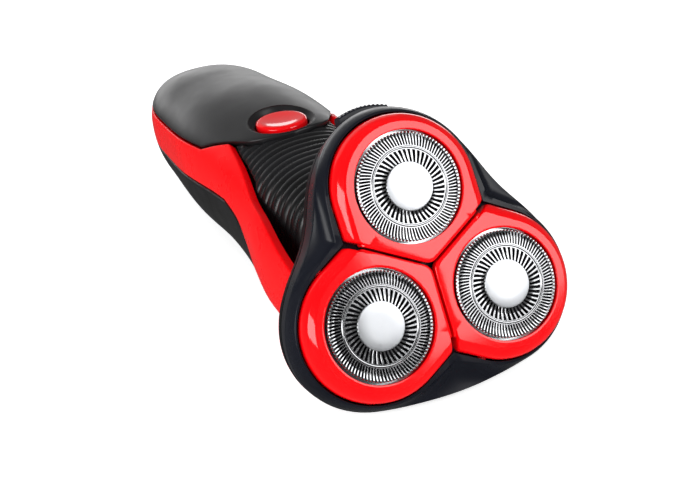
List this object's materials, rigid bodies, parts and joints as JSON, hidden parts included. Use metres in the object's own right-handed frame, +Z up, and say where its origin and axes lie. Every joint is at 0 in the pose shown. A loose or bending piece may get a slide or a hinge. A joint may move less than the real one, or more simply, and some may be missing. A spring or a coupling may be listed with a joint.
{
  "type": "rotary electric shaver",
  "caption": "Cordless rotary shaver: flip-open head with tilting petals and floating round foils over spinning cutters, ribbed neck, glossy handle, power button and charging inlet.",
  "frame": {"origin": "bottom centre of the bounding box, on the table the shaver lies on its back on", "axes": "+Z up, +Y along the handle towards its tail and charging inlet, -Y the side the cutters face, +X to one side"},
  "size_m": [0.0618, 0.1758, 0.0552],
  "materials": {
    "red_gloss": "high gloss lacquered",
    "black_gloss": "high gloss",
    "black_satin": "satin",
    "black_rubber": "matte soft touch",
    "grey_nylon": "as moulded",
    "white_nylon": "as moulded",
    "polished_foil": "polished with a brushed centre disc",
    "steel": "ground",
    "contact_brass": "plated",
    "board_green": "solder resist",
    "cell_sleeve": "shrink sleeve over a metal can"
  },
  "bodies": {
    "handle": {"head_base": "black_satin", "neck_collar": "black_gloss", "ribbed_grip": "black_rubber", "side_trim": "red_gloss", "front_panel": "black_gloss", "back_shell": "black_rubber", "button_bezel": "black_gloss", "charging_inlet": "black_satin", "motor_can": "steel", "motor_mount": "grey_nylon", "chassis": "grey_nylon", "battery": "cell_sleeve", "battery_tab_front": "contact_brass", "battery_tab_rear": "contact_brass", "circuit_board": "board_green", "tact_switch": "black_satin", "board_screw_1": "steel", "board_screw_2": "steel", "gear_cover": "grey_nylon", "cover_screw_1": "steel", "cover_screw_2": "steel", "cover_screw_3": "steel", "hinge_pin": "steel", "inlet_pin_left": "contact_brass", "inlet_pin_right": "contact_brass"},
    "head": {"head_frame": "black_satin", "cutter_retainer": "grey_nylon"},
    "knob": {"retainer_knob": "black_satin"},
    "pinion": {"pinion": "white_nylon"},
    "rotor": {"motor_shaft": "steel"},
    "power_button": {"power_button": "red_gloss"},
    "release_button": {"release_button": "black_satin"},
    "petal_top": {"petal_top": "red_gloss"},
    "foil_top": {"foil_top": "polished_foil"},
    "blade_top": {"blade_top": "steel"},
    "spindle_top": {"spindle_top": "white_nylon"},
    "petal_right": {"petal_right": "red_gloss"},
    "foil_right": {"foil_right": "polished_foil"},
    "blade_right": {"blade_right": "steel"},
    "spindle_right": {"spindle_right": "white_nylon"},
    "petal_left": {"petal_left": "red_gloss"},
    "foil_left": {"foil_left": "polished_foil"},
    "blade_left": {"blade_left": "steel"},
    "spindle_left": {"spindle_left": "white_nylon"}
  },
  "joints": [
    {"name": "head_open", "type": "hinge", "parent": "handle", "child": "head", "pos_m": [0, -0.07853, 0.00146], "axis": [1, 0, 0], "range_deg": [0, 100]},
    {"name": "petal_tilt_top", "type": "hinge", "parent": "head", "child": "petal_top", "pos_m": [0, -0.0679, 0.04057], "axis": [1, 0, 0], "range_deg": [-3, 3], "stiffness_Nm_per_rad": 0.08},
    {"name": "foil_float_top", "type": "slide", "parent": "petal_top", "child": "foil_top", "axis": [0, 0.91, -0.4147], "range_m": [0, 0.001], "stiffness_N_per_m": 1500, "springref_m": -0.0005},
    {"name": "blade_spin_top", "type": "hinge", "parent": "foil_top", "child": "blade_top", "pos_m": [0, -0.07245, 0.04265], "axis": [0, -0.91, 0.4147], "continuous": true},
    {"name": "spindle_spin_top", "type": "hinge", "parent": "handle", "child": "spindle_top", "pos_m": [0, -0.0588, 0.03643], "axis": [0, -0.91, 0.4147], "continuous": true},
    {"name": "petal_tilt_right", "type": "hinge", "parent": "head", "child": "petal_right", "pos_m": [0.01394, -0.07791, 0.0186], "axis": [-0.5, -0.3591, -0.788], "range_deg": [-3, 3], "stiffness_Nm_per_rad": 0.08},
    {"name": "foil_float_right", "type": "slide", "parent": "petal_right", "child": "foil_right", "axis": [0, 0.91, -0.4147], "range_m": [0, 0.001], "stiffness_N_per_m": 1500, "springref_m": -0.0005},
    {"name": "blade_spin_right", "type": "hinge", "parent": "foil_right", "child": "blade_right", "pos_m": [0.01394, -0.08246, 0.02067], "axis": [0, -0.91, 0.4147], "continuous": true},
    {"name": "spindle_spin_right", "type": "hinge", "parent": "handle", "child": "spindle_right", "pos_m": [0.01394, -0.06881, 0.01445], "axis": [0, -0.91, 0.4147], "continuous": true},
    {"name": "petal_tilt_left", "type": "hinge", "parent": "head", "child": "petal_left", "pos_m": [-0.01394, -0.07791, 0.0186], "axis": [-0.5, 0.3591, 0.788], "range_deg": [-3, 3], "stiffness_Nm_per_rad": 0.08},
    {"name": "foil_float_left", "type": "slide", "parent": "petal_left", "child": "foil_left", "axis": [0, 0.91, -0.4147], "range_m": [0, 0.001], "stiffness_N_per_m": 1500, "springref_m": -0.0005},
    {"name": "blade_spin_left", "type": "hinge", "parent": "foil_left", "child": "blade_left", "pos_m": [-0.01394, -0.08246, 0.02067], "axis": [0, -0.91, 0.4147], "continuous": true},
    {"name": "spindle_spin_left", "type": "hinge", "parent": "handle", "child": "spindle_left", "pos_m": [-0.01394, -0.06881, 0.01445], "axis": [0, -0.91, 0.4147], "continuous": true},
    {"name": "retainer_knob_turn", "type": "hinge", "parent": "head", "child": "knob", "pos_m": [0, -0.07185, 0.02468], "axis": [0, -0.91, 0.4147], "range_deg": [0, 90]},
    {"name": "pinion_spin", "type": "hinge", "parent": "handle", "child": "pinion", "pos_m": [0, -0.06493, 0.02153], "axis": [0, -0.91, 0.4147], "continuous": true},
    {"name": "motor_spin", "type": "hinge", "parent": "handle", "child": "rotor", "pos_m": [0, -0.03275, 0.02053], "axis": [0, -1, 0], "continuous": true},
    {"name": "power_button_press", "type": "slide", "parent": "handle", "child": "power_button", "axis": [0, 0, -1], "range_m": [0, 0.0009], "stiffness_N_per_m": 2500, "springref_m": -0.0004},
    {"name": "release_button_press", "type": "slide", "parent": "handle", "child": "release_button", "axis": [0, -0.4147, -0.91], "range_m": [0, 0.0012], "stiffness_N_per_m": 2500, "springref_m": -0.0004}
  ],
  "couplings": [
    {"joint": "blade_spin_top", "follows": "motor_spin", "ratio": -0.33333},
    {"joint": "spindle_spin_top", "follows": "motor_spin", "ratio": -0.33333},
    {"joint": "blade_spin_right", "follows": "motor_spin", "ratio": -0.33333},
    {"joint": "spindle_spin_right", "follows": "motor_spin", "ratio": -0.33333},
    {"joint": "blade_spin_left", "follows": "motor_spin", "ratio": -0.33333},
    {"joint": "spindle_spin_left", "follows": "motor_spin", "ratio": -0.33333},
    {"joint": "pinion_spin", "follows": "motor_spin", "ratio": 1}
  ]
}
